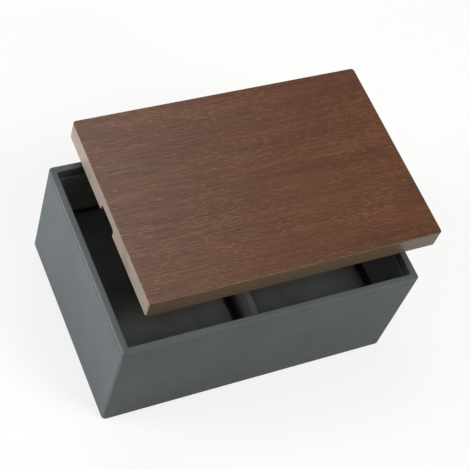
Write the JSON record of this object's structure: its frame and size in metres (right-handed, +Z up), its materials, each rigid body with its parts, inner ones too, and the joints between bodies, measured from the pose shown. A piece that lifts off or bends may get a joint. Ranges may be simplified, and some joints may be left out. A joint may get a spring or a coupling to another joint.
{
  "type": "watch display tray",
  "caption": "Shallow lidded watch tray: grey wrapped case, suede lined wells with padded floors and a low divider, loose wood lid with finger notches.",
  "frame": {"origin": "centre of the box's underside, on the surface it stands on", "axes": "+X along the length of the box, +Y to the back, +Z up"},
  "size_m": [0.1985, 0.1395, 0.0915],
  "materials": {
    "grey_leatherette": "matt, fine grained",
    "grey_suede": "short nap",
    "grey_card": "raw grey board",
    "fibreboard": "raw fibreboard",
    "walnut_veneer": "satin stained veneer, grain along the length"
  },
  "bodies": {
    "box": {"base_sheet": "grey_leatherette", "base_board": "fibreboard", "outer_wrap": "grey_leatherette", "front_wall_core": "fibreboard", "front_rim_band": "grey_leatherette", "front_deck_batten": "fibreboard", "front_lining_card": "grey_card", "front_lining_cover": "grey_suede", "back_wall_core": "fibreboard", "back_rim_band": "grey_leatherette", "back_deck_batten": "fibreboard", "back_lining_card": "grey_card", "back_lining_cover": "grey_suede", "left_wall_core": "fibreboard", "left_rim_band": "grey_leatherette", "left_deck_batten": "fibreboard", "left_lining_card": "grey_card", "left_lining_cover": "grey_suede", "right_wall_core": "fibreboard", "right_rim_band": "grey_leatherette", "right_deck_batten": "fibreboard", "right_lining_card": "grey_card", "right_lining_cover": "grey_suede", "deck_board": "grey_card", "divider_core": "grey_card", "divider_cover": "grey_suede", "left_pad_card": "grey_card", "left_floor_pad": "grey_suede", "right_pad_card": "grey_card", "right_floor_pad": "grey_suede"},
    "lid": {"lid_core": "fibreboard", "lid_top_veneer": "walnut_veneer", "lid_backing_veneer": "walnut_veneer", "lid_plug_board": "grey_card", "lid_plug_cover": "grey_suede", "lid_front_edge_veneer": "walnut_veneer", "lid_back_edge_veneer": "walnut_veneer", "lid_left_edge_veneer": "walnut_veneer", "lid_right_edge_veneer": "walnut_veneer"}
  },
  "joints": [
    {"name": "lid_lift", "type": "slide", "parent": "box", "child": "lid", "axis": [0, 0, 1], "range_m": [0, 0.06]}
  ]
}
